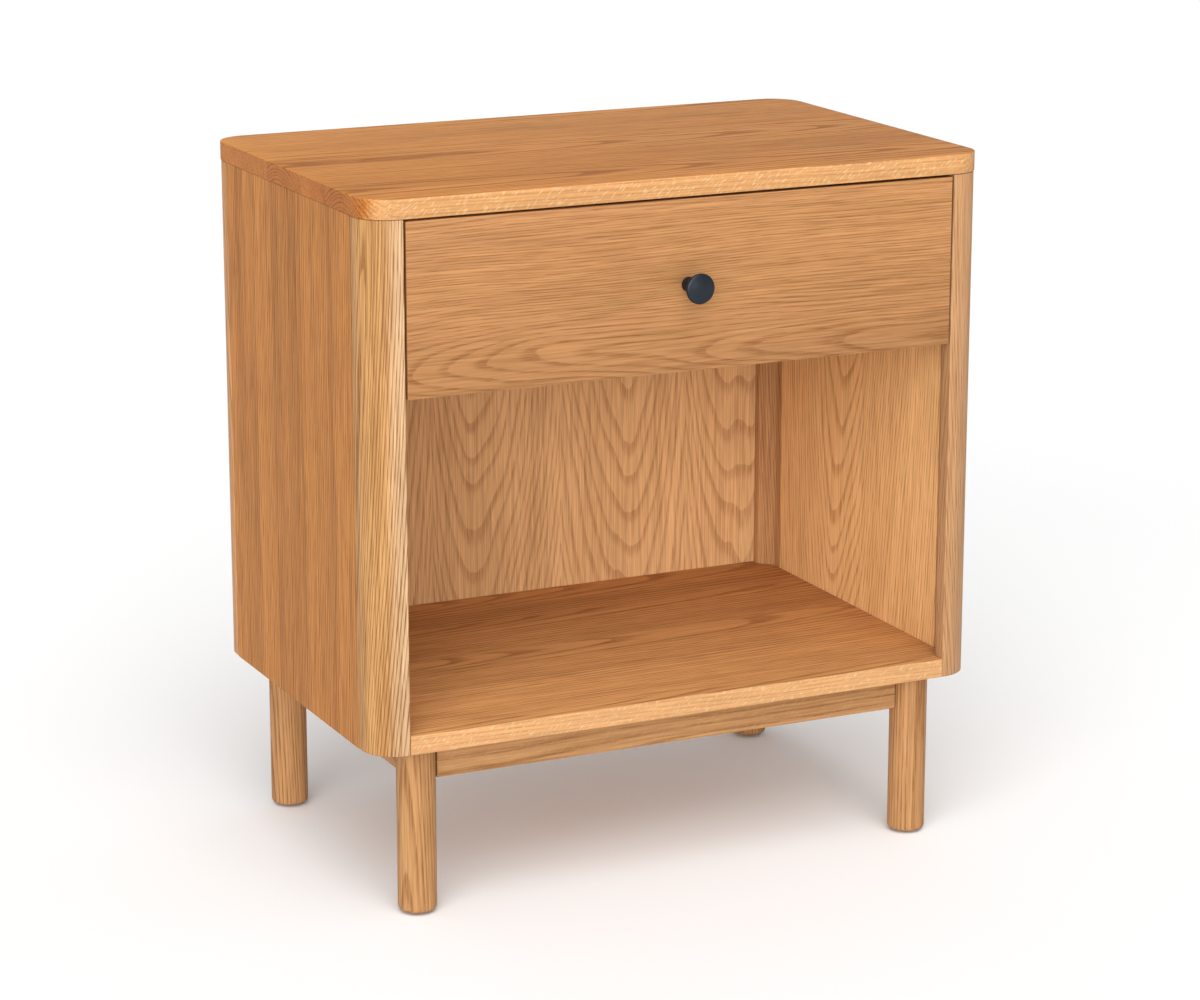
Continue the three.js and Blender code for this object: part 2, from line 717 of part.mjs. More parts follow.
function frontHoles() {
  const radius = FRONT_SCREW.shank + HOLE_CLEARANCE;
  const tip = BOX_INNER_FRONT_Y - FRONT_SCREW.length;
  const fixings = [-FRONT_SCREW_X, FRONT_SCREW_X].map((x) =>
    rod(radius, [x, BOX_INNER_FRONT_Y + 1, KNOB_Z], [x, tip, KNOB_Z]),
  );
  const knob = rod(
    KNOB_SCREW.shank + HOLE_CLEARANCE,
    [0, BOX_INNER_FRONT_Y + 1, KNOB_Z],
    [0, DRAWER_FACE_Y - 1, KNOB_Z],
  );
  return [...fixings, knob];
}

const drawerFrontBoard = block(
  -OPENING_HALF + DRAWER_SIDE_GAP,
  OPENING_HALF - DRAWER_SIDE_GAP,
  DRAWER_FACE_Y,
  DRAWER_FACE_Y + DRAWER_FRONT_THICKNESS,
  DRAWER_FRONT_BASE,
  TOP_BASE - DRAWER_TOP_GAP,
);
add("drawer_front", cut(drawerFrontBoard, ...frontHoles()), solidOak);
add(
  "drawer_box_front",
  cut(drawerEnd(BOX_FRONT_Y, BOX_INNER_FRONT_Y, -1), ...frontHoles()),
  drawerWood,
);
add("drawer_box_back", drawerEnd(BOX_BACK_Y, BOX_INNER_BACK_Y, 1), drawerWood);
for (const [side, sign] of SIDES) add(`drawer_${side}_side`, drawerSide(sign), drawerWood);
add(
  "drawer_bottom",
  block(
    -BOX_INNER_X - BOX_GROOVE + GAP,
    BOX_INNER_X + BOX_GROOVE - GAP,
    BOX_INNER_FRONT_Y - BOX_GROOVE + GAP,
    BOX_INNER_BACK_Y + BOX_GROOVE - GAP,
    BOTTOM_BASE,
    BOTTOM_BASE + BOX_BOTTOM_THICKNESS,
  ),
  oakVeneer,
);
for (const [side, sign] of SIDES) {
  const geometry = screw(
    FRONT_SCREW.shank, FRONT_SCREW.length, FRONT_SCREW.head, FRONT_SCREW.headHeight,
  );
  const seat = [sign * FRONT_SCREW_X, BOX_INNER_FRONT_Y + GAP, KNOB_Z];
  add(`drawer_front_screw_${side}`, geometry, zincSteel, seat, [Math.PI / 2, 0, 0]);
}

// ---- Knob: a turned metal mushroom with a screw hole in its stem ----
function knob() {
  const rim = arc(KNOB_RADIUS - 2, KNOB_PROJECTION - 3.6, 2, -Math.PI / 3, Math.PI / 2, 6);
  return lathe(
    [
      [0, KNOB_HOLE_DEPTH],
      [KNOB_HOLE_RADIUS, KNOB_HOLE_DEPTH],
      [KNOB_HOLE_RADIUS, GAP],
      [6, GAP],
      [6, 1.8],
      [5, 3.4],
      [4.6, 7],
      [4.8, 11],
      [5.8, 14.5],
      [8, 17.4],
      ...rim,
      [KNOB_RADIUS / 2, KNOB_PROJECTION - 0.5],
      [0, KNOB_PROJECTION],
    ],
    ROUND_STEPS,
  );
}

add("knob", knob(), blackMetal, [0, DRAWER_FACE_Y, KNOB_Z], [Math.PI / 2, 0, 0]);
add(
  "knob_screw",
  screw(KNOB_SCREW.shank, KNOB_SCREW.length, KNOB_SCREW.head, KNOB_SCREW.headHeight),
  zincSteel,
  [0, BOX_INNER_FRONT_Y + GAP, KNOB_Z],
  [Math.PI / 2, 0, 0],
);

export default cabinet;
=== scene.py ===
import math

import bmesh
import bpy
from mathutils import Euler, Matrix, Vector


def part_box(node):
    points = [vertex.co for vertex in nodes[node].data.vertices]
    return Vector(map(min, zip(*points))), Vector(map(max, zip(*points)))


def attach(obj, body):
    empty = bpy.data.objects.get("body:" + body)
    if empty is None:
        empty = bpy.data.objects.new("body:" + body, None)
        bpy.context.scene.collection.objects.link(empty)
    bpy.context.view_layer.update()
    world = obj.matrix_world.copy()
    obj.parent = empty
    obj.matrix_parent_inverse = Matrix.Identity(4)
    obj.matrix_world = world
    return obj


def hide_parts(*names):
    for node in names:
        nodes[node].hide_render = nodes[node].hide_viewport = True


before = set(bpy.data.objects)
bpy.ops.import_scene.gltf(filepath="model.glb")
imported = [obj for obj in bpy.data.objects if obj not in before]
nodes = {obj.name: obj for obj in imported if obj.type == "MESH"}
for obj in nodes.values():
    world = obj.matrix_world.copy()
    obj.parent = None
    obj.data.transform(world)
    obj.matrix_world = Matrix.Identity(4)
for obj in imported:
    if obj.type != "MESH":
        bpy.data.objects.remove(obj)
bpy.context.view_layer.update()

# ---- Camera: metres and degrees. It stands in front, to the left, and looks slightly down ----
CAMERA_PLACE = (-1.2896, -2.7082, 1.0677)
CAMERA_YAW = -25.454
CAMERA_PITCH = -14.574
CAMERA_LENS = 109.12
SENSOR_WIDTH = 36.0

# ---- Eased edges: radius in metres, steps, and the least turn in degrees of an edge that is eased ----
BOARD_EASE = 0.0011
POST_EASE = 0.0009
EASE_STEPS = 3
EASE_ANGLE = 30.0
FLAT_ANGLE = 1.0

# ---- Knob: radius and distance out from the drawer front, in metres, up to where the head starts ----
KNOB_STEM = (
    (0.0, 0.0),
    (0.0060, 0.0),
    (0.0061, 0.0006),
    (0.0058, 0.0016),
    (0.0050, 0.0032),
    (0.0046, 0.0065),
    (0.0047, 0.0105),
    (0.0056, 0.0142),
    (0.0078, 0.0172),
)
KNOB_RIM_RADIUS = 0.002
KNOB_RIM_DROP = 0.0036
KNOB_RIM_START = -60.0
KNOB_RIM_TURN = 150.0
KNOB_RIM_STEPS = 8
KNOB_STEPS = 72

# ---- Knob's front face: share of the rim's radius, and metres below the middle ----
KNOB_FACE = ((0.55, 0.0006), (0.25, 0.0001), (0.0, 0.0))

# ---- Lights: name, direction of travel, strength, and angle across in degrees ----
SUNS = (
    ("front", (0.30, 0.95, -0.08), 1.8, 50.0),
    ("left", (0.70, 0.70, -0.12), 2.2, 50.0),
    ("overhead", (0.20, 0.55, -0.81), 1.7, 50.0),
)
WORLD_STRENGTH = 0.55
FLOOR_REACH = 40.0
FLOOR_SHADE = 0.90

# ---- Wood colours, linear, from the pale late wood to the dark early wood. Each part's tones were matched under the scene's lights, so besides the oak's own colour they hold painted light and shade ----
TOP_TONES = ((0.612, 0.258, 0.064), (0.318, 0.112, 0.023))
FRONT_TONES = ((0.378, 0.182, 0.071), (0.217, 0.089, 0.028))
SIDE_TONES = ((0.470, 0.192, 0.042), (0.232, 0.082, 0.015))
# Inside faces of the side panels: the oak's colour painted much paler, painted light standing in for light
# that does not reach inside the cabinet
INSIDE_PAINTED_LIGHT_TONES = ((0.800, 0.478, 0.214), (0.500, 0.254, 0.094))
POST_TONES = ((0.530, 0.350, 0.196), (0.256, 0.122, 0.048))
# Left-facing side of the front left post: the oak painted deeper, painted shade against the pale haze the
# left sun puts on that side
CORNER_PAINTED_SHADE_TONES = ((0.460, 0.250, 0.094), (0.236, 0.098, 0.030))
PLAIN_POST_TONES = ((0.420, 0.232, 0.110), (0.286, 0.133, 0.055))
SHELF_TONES = ((0.640, 0.318, 0.120), (0.330, 0.144, 0.050))
# Back panel's inside face: the oak's colour painted paler, painted light standing in for the shade inside
# the cabinet; the drawer bottom shares these tones
BACK_PAINTED_LIGHT_TONES = ((0.710, 0.424, 0.198), (0.425, 0.220, 0.094))
BASE_TONES = ((0.408, 0.213, 0.088), (0.248, 0.113, 0.040))
# Outer faces of the back and right side: a guess at the oak's own tones, without the painted light of the
# inside faces
OUTSIDE_TONES = ((0.470, 0.215, 0.068), (0.250, 0.098, 0.024))
BACK_POST_TONES = ((0.500, 0.262, 0.112), (0.300, 0.138, 0.054))
INNER_TONES = ((0.66, 0.430, 0.220), (0.50, 0.290, 0.130))

# ---- Front edges and their rays, what multiplies the dark tone in pores, and what multiplies end grain ----
EDGE_TONE = (0.45, 0.250, 0.110)
RAY_TONE = (0.58, 0.400, 0.220)
PORE_SHADE = (0.74, 0.60, 0.48)
END_GRAIN_SHADE = (0.70, 0.60, 0.50)

# ---- Oak grain: length along the grain as a share, then the noise's scale, detail and roughness ----
SLOW = (0.22, 11.0, 2.0, 0.5)
RIPPLE = (0.10, 70.0, 3.0, 0.55)
STREAK = (0.035, 420.0, 3.0, 0.65)
BAND = (0.03, 60.0, 2.0, 0.5)
FIBRE = (0.02, 900.0, 2.0, 0.6)
HAIRLINE = (0.018, 620.0, 2.0, 0.7)
VESSEL = (0.035, 950.0, 2.0, 0.6)
RAY_ANGLE = 0.72
RAY_SCALE = 950.0
RAY_STRETCH = (0.16, 1.0, 1.0)

# ---- Oak grain: where in its range each noise starts and ends to show ----
HAIRLINE_CUT = (0.50, 0.58)
VESSEL_CUT = (0.46, 0.60)
RAY_CUT = (0.56, 0.68)
MIDDLE_CUT = (0.3, 0.7)

# ---- Growth rings: shares of a ring where its early wood starts and fades, and how uneven they are ----
EARLY_RISE = (0.0, 0.07)
EARLY_FADE = (0.12, 0.55)
UNEVEN_PITCH = 0.28
UNEVEN_AMOUNT = 2.2
YEAR_PITCH = 0.10

# ---- Oak grain: how dark each thing makes the wood, and how far the rings waver ----
EARLY_DEPTH = 0.46
YEAR_DEPTH = 0.75
STREAK_DEPTH = 0.90
BAND_DEPTH = 0.75
SLOW_DEPTH = 0.45
HAIRLINE_DEPTH = 0.34
BASE_DEPTH = 0.26
PORE_DEPTH = 0.62
LATE_PORES = 0.16
SLOW_WANDER = 2.0
RIPPLE_WANDER = 0.14
STRIP_JUMP = 3.0
STRIP_SLIDE = 4.0

# ---- Oak finish ----
OAK_ROUGHNESS = (0.45, 0.55)
PORE_ROUGHNESS = 0.16
FIBRE_VALUE = (0.91, 1.13)
BAND_HUE = (0.499, 0.501)
OAK_GLOSS = 0.12
FIBRE_HEIGHT = 0.25
OAK_BUMP = 0.25
OAK_BUMP_DISTANCE = 0.0004


def make_camera():
    data = bpy.data.cameras.new("camera")
    data.lens = CAMERA_LENS
    data.sensor_width = SENSOR_WIDTH
    camera = bpy.data.objects.new("camera", data)
    camera.location = CAMERA_PLACE
    camera.rotation_euler = Euler(
        (math.radians(90 + CAMERA_PITCH), 0, math.radians(CAMERA_YAW)), "XYZ"
    )
    bpy.context.scene.collection.objects.link(camera)
    bpy.context.scene.camera = camera


class Graph:
    """Adds shader nodes to one material, and links what it is given to their inputs."""

    def __init__(self, name):
        self.material = bpy.data.materials.new(name)
        self.material.use_nodes = True
        self.tree = self.material.node_tree
        self.shader = self.tree.nodes["Principled BSDF"]

    def node(self, kind, inputs=None, **settings):
        made = self.tree.nodes.new(kind)
        for key, value in settings.items():
            setattr(made, key, value)
        for key, value in (inputs or {}).items():
            self.feed(made.inputs[key], value)
        return made

    def feed(self, socket, value):
        if isinstance(value, bpy.types.NodeSocket):
            self.tree.links.new(value, socket)
        else:
            socket.default_value = value

    def math(self, operation, *values, clamp=False):
        made = self.node("ShaderNodeMath", operation=operation, use_clamp=clamp)
        for index, value in enumerate(values):
            self.feed(made.inputs[index], value)
        return made.outputs[0]

    def noise(self, vector, scale, detail, roughness=0.5):
        made = self.node(
            "ShaderNodeTexNoise",
            {"Vector": vector, "Scale": scale, "Detail": detail, "Roughness": roughness},
        )
        return made.outputs["Fac"]

    def stretch(self, vector, factors):
        made = self.node("ShaderNodeVectorMath", operation="MULTIPLY")
        self.feed(made.inputs[0], vector)
        made.inputs[1].default_value = factors
        return made.outputs[0]

    def add_vectors(self, first, second):
        made = self.node("ShaderNodeVectorMath", operation="ADD")
        self.feed(made.inputs[0], first)
        self.feed(made.inputs[1], second)
        return made.outputs[0]

    def span(self, value, low, high, to_low=0.0, to_high=1.0):
        made = self.node(
            "ShaderNodeMapRange",
            {"Value": value, "From Min": low, "From Max": high, "To Min": to_low, "To Max": to_high},
            interpolation_type="SMOOTHSTEP",
        )
        return made.outputs["Result"]

    def mix(self, factor, first, second, blend="MIX"):
        made = self.node("ShaderNodeMix", data_type="RGBA", blend_type=blend)
        first_colour, second_colour = made.inputs[6], made.inputs[7]
        self.feed(made.inputs["Factor"], factor)
        self.feed(first_colour, first)
        self.feed(second_colour, second)
        return made.outputs[2]

    def roughen(self, height, strength, distance):
        made = self.node("ShaderNodeBump", {"Height": height, "Strength": strength, "Distance": distance})
        self.feed(self.shader.inputs["Normal"], made.outputs[0])


def rgba(colour):
    return (*colour, 1.0)


def cut_into_strips(g, axes, stave, seed):
    """Makes one of the axes local to its strip, and gives how each strip differs from the others:
    the shifts of its log, its tone, and where its grain is taken from."""
    axis_name, width, offset, spread, difference = stave
    s = "XYZ".index(axis_name)
    strips = g.math("DIVIDE", g.math("ADD", axes[s], offset), width)
    number = g.math("ADD", g.math("FLOOR", strips), seed)
    white = g.node("ShaderNodeTexWhiteNoise", {"W": number}, noise_dimensions="1D")
    random = g.node("ShaderNodeSeparateColor", {"Color": white.outputs["Color"]})
    middled = [g.math("SUBTRACT", random.outputs[i], 0.5) for i in range(3)]
    shifts = [g.math("MULTIPLY", value, spread) for value in middled]
    tone = g.math("MULTIPLY", middled[2], difference)
    axes[s] = g.math("MULTIPLY", g.math("SUBTRACT", g.math("FRACT", strips), 0.5), width)
    return shifts, tone, g.stretch(white.outputs["Color"], (STRIP_JUMP,) * 3)


def log_radius(g, axes, a, pith, tilt, shifts):
    """The distance from the log's centre line, which leans as it runs along axis number a."""
    across = [i for i in range(3) if i != a]
    squares = []
    for i, middle, lean, shift in zip(across, pith, tilt, shifts):
        run = g.math("SUBTRACT", axes[i], middle)
        run = g.math("ADD", run, g.math("MULTIPLY", axes[a], lean))
        squares.append(g.math("POWER", g.math("ADD", run, shift), 2.0))
    return g.math("SQRT", g.math("ADD", *squares))


def ring_pattern(g, radius, rings, seed):
    """The pored early wood of each growth ring, and how the years differ from each other."""

    def along_radius(scale):
        point = g.node(
            "ShaderNodeCombineXYZ", {"X": g.math("MULTIPLY", radius, scale), "Y": seed + 0.5}
        )
        return g.noise(point.outputs[0], 1.0, 2.0)

    uneven = g.math("MULTIPLY", along_radius(UNEVEN_PITCH / rings), UNEVEN_AMOUNT)
    phase = g.math("FRACT", g.math("ADD", g.math("DIVIDE", radius, rings), uneven))
    early = g.math("MULTIPLY", g.span(phase, *EARLY_RISE), g.span(phase, *EARLY_FADE, 1.0, 0.0))
    return early, along_radius(YEAR_PITCH / rings)


def front_edge(g, colour, grain_place, facing, fleck):
    """Lightens the face that looks forward, and crosses it with short pale rays."""
    turned = g.node(
        "ShaderNodeVectorRotate",
        {"Vector": grain_place, "Angle": RAY_ANGLE},
        rotation_type="Y_AXIS",
    )
    dashes = g.noise(g.stretch(turned.outputs[0], RAY_STRETCH), RAY_SCALE, 1.0)
    front = g.span(g.math("MULTIPLY", facing.outputs["Y"], -1.0), 0.5, 0.9)
    rays = g.math("MULTIPLY", g.span(dashes, *RAY_CUT), front)
    colour = g.mix(g.math("MULTIPLY", front, fleck), colour, rgba(EDGE_TONE))
    return g.mix(g.math("MULTIPLY", rays, fleck), colour, rgba(RAY_TONE))


def oak(
    name,
    along,
    pith,
    tones,
    rings=0.0028,
    wander=0.006,
    tilt=(0.0, 0.0),
    stave=None,
    contrast=1.0,
    fleck=0.0,
    other_face=None,
    seed=0.0,
):
    """Oak as a log that the board is sawn from, so faces, edges and end grain all follow.

    along is the axis of the grain, pith a point on the log's centre line, tilt how that line leans
    across the other two axes and rings the growth ring spacing. stave is the axis, width and offset
    of edge-glued strips or veneer leaves, then how far the log moves from one strip to the next and
    how much their tone differs. fleck is the strength of the pale front edge and its ray marks.
    other_face is the axis and sign that another face looks along, and the tones of that face. The two faces'
    tones differ mostly by painted light and shade: faces inside the cabinet are painted paler, the sunlit
    side of the front left post deeper.
    """
    g = Graph(name)
    coordinates = g.node("ShaderNodeTexCoord")
    split = g.node("ShaderNodeSeparateXYZ", {"Vector": coordinates.outputs["Object"]})
    facing = g.node("ShaderNodeSeparateXYZ", {"Vector": coordinates.outputs["Normal"]})
    axes = [split.outputs[i] for i in range(3)]
    a = "XYZ".index(along)
    shifts, tone, jump = (0.0, 0.0, 0.0), 0.0, None
    if stave:
        shifts, tone, jump = cut_into_strips(g, axes, stave, seed)
        axes[a] = g.math("ADD", axes[a], g.math("MULTIPLY", shifts[2], STRIP_SLIDE))
    base = g.node("ShaderNodeCombineXYZ", dict(zip("XYZ", axes)))
    grain_place = g.add_vectors(base.outputs[0], (seed * 0.37, seed * 0.61, seed * 0.23))
    if stave:
        grain_place = g.add_vectors(grain_place, jump)

    def grain(lengthways, scale, detail, roughness):
        drawn_out = [lengthways if i == a else 1.0 for i in range(3)]
        return g.noise(g.stretch(grain_place, drawn_out), scale, detail, roughness)

    def centred(value, amount):
        return g.math("MULTIPLY", g.math("SUBTRACT", value, 0.5), amount)

    slow = grain(*SLOW)
    radius = log_radius(g, axes, a, pith, tilt, shifts)
    radius = g.math("ADD", radius, centred(slow, wander * SLOW_WANDER))
    radius = g.math("ADD", radius, centred(grain(*RIPPLE), wander * RIPPLE_WANDER))
    early, year = ring_pattern(g, radius, rings, seed)
    band = grain(*BAND)
    fibre = grain(*FIBRE)
    hairline = g.span(grain(*HAIRLINE), *HAIRLINE_CUT)
    vessels = g.span(grain(*VESSEL), *VESSEL_CUT)
    pores = g.math("MULTIPLY", vessels, g.span(early, 0.1, 0.9, LATE_PORES, 1.0))

    depth = g.math("ADD", g.math("MULTIPLY", early, EARLY_DEPTH * contrast), tone)
    for value, amount in (
        (year, YEAR_DEPTH * contrast),
        (grain(*STREAK), STREAK_DEPTH * contrast),
        (band, BAND_DEPTH * contrast),
        (slow, SLOW_DEPTH),
        (hairline, HAIRLINE_DEPTH),
    ):
        depth = g.math("ADD", depth, centred(value, amount))
    depth = g.math("ADD", depth, BASE_DEPTH, clamp=True)

    colour = g.mix(depth, rgba(tones[0]), rgba(tones[1]))
    # Painted light and shade: the face looking along this axis takes its own tones, paler inside the cabinet
    # and deeper on the sunlit side of the front left post
    if other_face:
        axis_name, sign, other_tones = other_face
        outward = g.math("MULTIPLY", facing.outputs[axis_name], sign)
        other_colour = g.mix(depth, rgba(other_tones[0]), rgba(other_tones[1]))
        colour = g.mix(g.span(outward, 0.1, 0.6), colour, other_colour)
    pore_tone = rgba([value * shade for value, shade in zip(tones[1], PORE_SHADE)])
    colour = g.mix(g.math("MULTIPLY", pores, PORE_DEPTH * contrast), colour, pore_tone)
    end_grain = g.span(g.math("ABSOLUTE", facing.outputs[a]), 0.55, 0.95)
    colour = g.mix(end_grain, colour, rgba(END_GRAIN_SHADE), "MULTIPLY")
    if fleck:
        colour = front_edge(g, colour, grain_place, facing, fleck)
    tinted = g.node(
        "ShaderNodeHueSaturation",
        {
            "Color": colour,
            "Value": g.span(fibre, *MIDDLE_CUT, *FIBRE_VALUE),
            "Hue": g.span(band, *MIDDLE_CUT, *BAND_HUE),
        },
    )
    fibre_rough = g.span(fibre, *MIDDLE_CUT, *OAK_ROUGHNESS)
    rough = g.math("ADD", fibre_rough, g.math("MULTIPLY", pores, PORE_ROUGHNESS))
    height = g.math("SUBTRACT", g.math("MULTIPLY", fibre, FIBRE_HEIGHT), pores)
    g.feed(g.shader.inputs["Base Color"], tinted.outputs[0])
    g.feed(g.shader.inputs["Roughness"], rough)
    g.roughen(height, OAK_BUMP, OAK_BUMP_DISTANCE)
    g.shader.inputs["Specular IOR Level"].default_value = OAK_GLOSS
    return g.material


def satin_metal(name, colour, metallic, roughness, grain=900.0, streaks=(1.0, 1.0, 1.0)):
    """Metal with a fine speck, drawn out into rolling marks where streaks squeezes an axis."""
    g = Graph(name)
    place = g.node("ShaderNodeTexCoord").outputs["Object"]
    speck = g.noise(g.stretch(place, streaks), grain, 2.0, 0.6)
    cloud = g.noise(place, 60.0, 2.0, 0.5)
    shade = g.mix(g.span(cloud, 0.3, 0.7), rgba(tuple(v * 0.88 for v in colour)), rgba(colour))
    g.feed(g.shader.inputs["Base Color"], shade)
    g.feed(g.shader.inputs["Roughness"], g.span(speck, 0.2, 0.8, roughness - 0.06, roughness + 0.08))
    g.shader.inputs["Metallic"].default_value = metallic
    g.roughen(speck, 0.12, 0.0001)
    return g.material


def moulded(name, colour, roughness):
    """Moulded plastic with a fine texture and paler scuffs."""
    g = Graph(name)
    place = g.node("ShaderNodeTexCoord").outputs["Object"]
    speck = g.noise(place, 1400.0, 3.0, 0.6)
    scuffs = g.noise(place, 160.0, 3.0, 0.6)
    shade = g.mix(g.span(scuffs, 0.4, 0.7), rgba(colour), rgba(tuple(v * 1.25 for v in colour)))
    g.feed(g.shader.inputs["Base Color"], shade)
    g.feed(g.shader.inputs["Roughness"], g.span(speck, 0.2, 0.8, roughness - 0.05, roughness + 0.08))
    g.roughen(speck, 0.2, 0.0001)
    return g.material


def paint(name, material):
    """Gives a CAD node that stays as it is its detailed material."""
    node = nodes[name]
    node.data.materials.clear()
    node.data.materials.append(material)


def eased(name, width, material, body):
    """The node's own solid with its flat faces whole again and its outside edges eased."""
    node = nodes[name]
    mesh = node.data.copy()
    piece = bpy.data.objects.new(name + "_eased", mesh)
    bpy.context.scene.collection.objects.link(piece)
    work = bmesh.new()
    work.from_mesh(mesh)
    bmesh.ops.remove_doubles(work, verts=work.verts, dist=1e-6)
    bmesh.ops.dissolve_limit(
        work, angle_limit=math.radians(FLAT_ANGLE), verts=work.verts, edges=work.edges
    )
    work.to_mesh(mesh)
    work.free()
    mesh.materials.clear()
    mesh.materials.append(material)
    bevel = piece.modifiers.new("ease", "BEVEL")
    bevel.width = width
    bevel.segments = EASE_STEPS
    bevel.limit_method = "ANGLE"
    bevel.angle_limit = math.radians(EASE_ANGLE)
    bevel.harden_normals = True
    for polygon in mesh.polygons:
        polygon.use_smooth = True
    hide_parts(name)
    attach(piece, body)


def revolved(name, stands_for, profile, steps, centre, axis, material, body):
    """A smooth turned piece from its profile's radii and distances along its axis."""
    work = bmesh.new()
    across = Vector((1, 0, 0))
    upward = axis.cross(across).normalized()
    rings = []
    for radius, distance in profile:
        middle = centre + axis * distance
        if radius == 0:
            rings.append([work.verts.new(middle)])
            continue
        rings.append(
            [
                work.verts.new(
                    middle
                    + across * radius * math.cos(2 * math.pi * k / steps)
                    + upward * radius * math.sin(2 * math.pi * k / steps)
                )
                for k in range(steps)
            ]
        )
    for low, high in zip(rings, rings[1:]):
        for k in range(steps):
            after = (k + 1) % steps
            corners = [low[k % len(low)], low[after % len(low)]]
            corners += [high[after % len(high)], high[k % len(high)]]
            work.faces.new(list(dict.fromkeys(corners)))
    bmesh.ops.recalc_face_normals(work, faces=work.faces)
    mesh = bpy.data.meshes.new(name)
    work.to_mesh(mesh)
    work.free()
    for polygon in mesh.polygons:
        polygon.use_smooth = True
    mesh.materials.append(material)
    piece = bpy.data.objects.new(name, mesh)
    bpy.context.scene.collection.objects.link(piece)
    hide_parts(stands_for)
    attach(piece, body)


def make_floor():
    mesh = bpy.data.meshes.new("floor")
    square = ((-1, -1), (1, -1), (1, 1), (-1, 1))
    mesh.from_pydata([(x * FLOOR_REACH, y * FLOOR_REACH, 0) for x, y in square], [], [(0, 1, 2, 3)])
    floor = bpy.data.objects.new("floor", mesh)
    bpy.context.scene.collection.objects.link(floor)
    paper = Graph("floor_paint")
    paper.shader.inputs["Base Color"].default_value = rgba((FLOOR_SHADE,) * 3)
    paper.shader.inputs["Roughness"].default_value = 0.8
    mesh.materials.append(paper.material)


def soft_sun(name, travel, strength, spread):
    data = bpy.data.lights.new(name, "SUN")
    data.energy = strength
    data.angle = math.radians(spread)
    lamp = bpy.data.objects.new(name, data)
    lamp.rotation_euler = Vector(travel).to_track_quat("-Z", "Y").to_euler()
    bpy.context.scene.collection.objects.link(lamp)


def make_world():
    world = bpy.data.worlds.new("studio")
    world.use_nodes = True
    background = world.node_tree.nodes["Background"]
    background.inputs["Color"].default_value = rgba((1.0, 1.0, 1.0))
    background.inputs["Strength"].default_value = WORLD_STRENGTH
    bpy.context.scene.world = world


make_camera()

# ---- Cabinet boards ----
front_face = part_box("drawer_front")[0].y
back_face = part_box("back_panel")[0].y
top_oak = oak(
    "top_oak", "X", (0.05, 0.540), TOP_TONES, rings=0.0030, tilt=(0.01, 0.02),
    stave=("Y", 0.132, 0.079, 0.05, 0.42), contrast=1.1, fleck=0.65, seed=3.0,
)
eased("top_panel", BOARD_EASE, top_oak, "cabinet")

shelf_oak = oak(
    "shelf_oak", "X", (0.045, 0.105), SHELF_TONES, rings=0.0030, tilt=(0.01, 0.035),
    stave=("Y", 0.085, 0.150, 0.04, 0.14), fleck=0.65, seed=12.0,
)
eased("bottom_shelf", BOARD_EASE, shelf_oak, "cabinet")

# The side panels' inside faces take the paler tones, painted light for the shade inside the cabinet; their
# outer faces take plainer tones
left_oak = oak(
    "left_side_oak", "Z", (-0.15, -0.35), SIDE_TONES, rings=0.0034, tilt=(0.01, 0.012),
    stave=("Y", 0.062, 0.137, 0.03, 0.30), contrast=1.6,
    other_face=("X", 1.0, INSIDE_PAINTED_LIGHT_TONES), seed=6.0,
)
paint("left_side_panel", left_oak)
right_oak = oak(
    "right_side_oak", "Z", (0.362, 0.045), INSIDE_PAINTED_LIGHT_TONES, rings=0.0032, wander=0.011,
    tilt=(0.100, 0.02), contrast=0.90, other_face=("X", 1.0, OUTSIDE_TONES), seed=8.0,
)
paint("right_side_panel", right_oak)
# The back panel's inside face takes paler tones, painted light for the shade inside the cabinet; its outer
# face takes plainer tones
back_oak = oak(
    "back_oak", "Z", (0.0, back_face + 0.110), BACK_PAINTED_LIGHT_TONES, rings=0.0034, wander=0.011,
    tilt=(0.01, 0.100), stave=("X", 0.126, 0.205, 0.030, 0.10), contrast=0.72,
    other_face=("Y", 1.0, OUTSIDE_TONES), seed=14.0,
)
paint("back_panel", back_oak)

for end, face_y, lean in (("front", -0.098, 0.10), ("back", 0.115, -0.10)):
    for side, sign in (("left", -1), ("right", 1)):
        tones = BACK_POST_TONES if end == "back" else PLAIN_POST_TONES
        corner = None
        # The front left post's left-facing side takes deeper tones, painted shade where the left sun lights
        # it
        if end == "front" and side == "left":
            tones = POST_TONES
            corner = ("X", -1.0, CORNER_PAINTED_SHADE_TONES)
        post_oak = oak(
            f"{end}_{side}_post_oak", "Z", (sign * 0.288, face_y), tones, rings=0.0026,
            wander=0.004, tilt=(0.012 * sign, lean), contrast=1.3 if side == "left" else 0.9,
            other_face=corner, seed=20.0 + 3 * sign + 7 * lean,
        )
        eased(f"{end}_{side}_post", POST_EASE, post_oak, "cabinet")

# ---- Base ----
for end in ("front", "back"):
    for side, seed in (("left", 31.0), ("right", 34.0)):
        leg_oak = oak(
            f"{end}_{side}_leg_oak", "Z", (0.17, 0.12), BASE_TONES, rings=0.0030,
            wander=0.004, tilt=(0.03, 0.02), contrast=1.1, seed=seed + len(end),
        )
        paint(f"{end}_{side}_leg", leg_oak)
for name, along in (("front", "X"), ("back", "X"), ("left", "Y"), ("right", "Y")):
    apron_oak = oak(
        name + "_apron_oak", along, (0.06, 0.05), BASE_TONES, rings=0.0030,
        tilt=(0.02, 0.03), fleck=0.10, seed=41.0 + len(name),
    )
    eased(name + "_apron", BOARD_EASE, apron_oak, "cabinet")

# ---- Drawer ----
front_oak = oak(
    "drawer_front_oak", "X", (front_face + 0.034, 0.448), FRONT_TONES, rings=0.0021,
    wander=0.014, tilt=(0.05, 0.02), contrast=0.75, seed=51.0,
)
eased("drawer_front", BOARD_EASE, front_oak, "drawer")

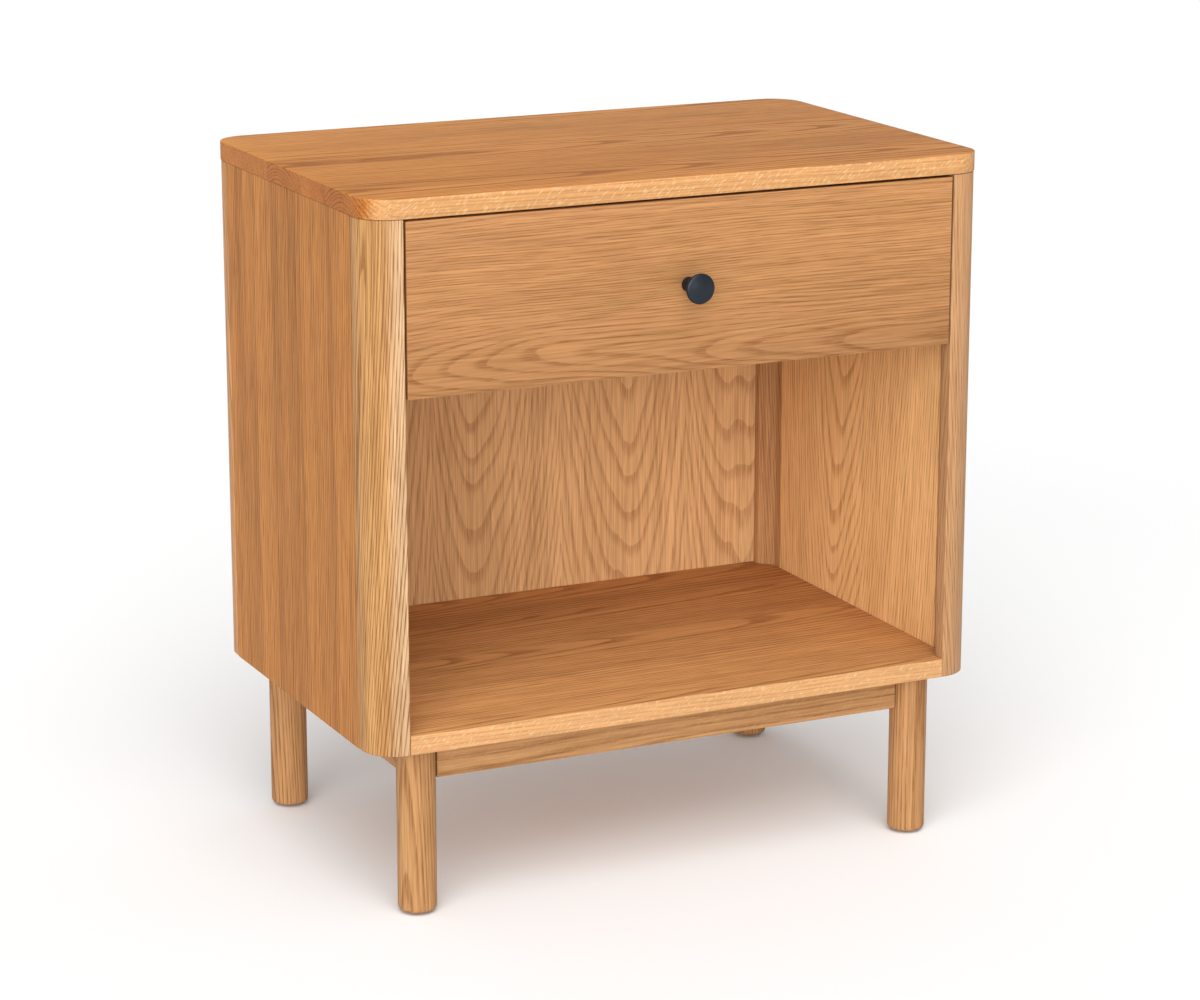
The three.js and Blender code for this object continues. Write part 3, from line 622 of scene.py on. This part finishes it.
across_oak = oak("inner_across_oak", "X", (0.2, 0.3), INNER_TONES, seed=61.0)
deep_oak = oak("inner_deep_oak", "Y", (0.2, 0.3), INNER_TONES, seed=65.0)
for name in ("drawer_box_front", "drawer_box_back", "front_top_rail", "back_top_rail"):
    paint(name, across_oak)
for name in ("drawer_left_side", "drawer_right_side", "left_runner_spacer", "right_runner_spacer"):
    paint(name, deep_oak)
for end in ("front", "back"):
    for side in ("left", "right"):
        paint(f"{end}_{side}_corner_block", across_oak)
paint("drawer_bottom", oak("bottom_oak", "X", (0.1, 0.43), BACK_PAINTED_LIGHT_TONES, seed=71.0))

# ---- Metal and nylon ----
zinc = satin_metal("zinc_steel", (0.60, 0.61, 0.62), 1.0, 0.34)
rolled = satin_metal("rolled_steel", (0.58, 0.59, 0.60), 1.0, 0.30, 500.0, (1.0, 0.03, 1.0))
nylon = moulded("nylon", (0.20, 0.17, 0.14), 0.55)
knob_black = satin_metal("knob_black", (0.022, 0.027, 0.036), 0.75, 0.36)
for name in nodes:
    if "screw" in name:
        paint(name, zinc)
    elif name.endswith(("_runner_outer", "_runner_middle", "_runner_inner")):
        paint(name, rolled)
    elif name.endswith("_glide"):
        paint(name, nylon)

knob_low, knob_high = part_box("knob")
knob_middle = (knob_low + knob_high) / 2
seat = Vector((knob_middle.x, knob_high.y, knob_middle.z))
reach = knob_high.y - knob_low.y
rim_radius = (knob_high.x - knob_low.x) / 2
knob_profile = list(KNOB_STEM)
for k in range(KNOB_RIM_STEPS + 1):
    angle = math.radians(KNOB_RIM_START + KNOB_RIM_TURN * k / KNOB_RIM_STEPS)
    knob_profile.append(
        (
            rim_radius - KNOB_RIM_RADIUS + KNOB_RIM_RADIUS * math.cos(angle),
            reach - KNOB_RIM_DROP + KNOB_RIM_RADIUS * math.sin(angle),
        )
    )
knob_profile += [(rim_radius * share, reach - drop) for share, drop in KNOB_FACE]
revolved(
    "knob_turned", "knob", knob_profile, KNOB_STEPS, seat, Vector((0, -1, 0)), knob_black,
    "drawer",
)

# ---- Floor, light and world ----
make_floor()
for name, travel, strength, spread in SUNS:
    soft_sun(name, travel, strength, spread)
make_world()
bpy.context.scene.view_settings.view_transform = "Standard"
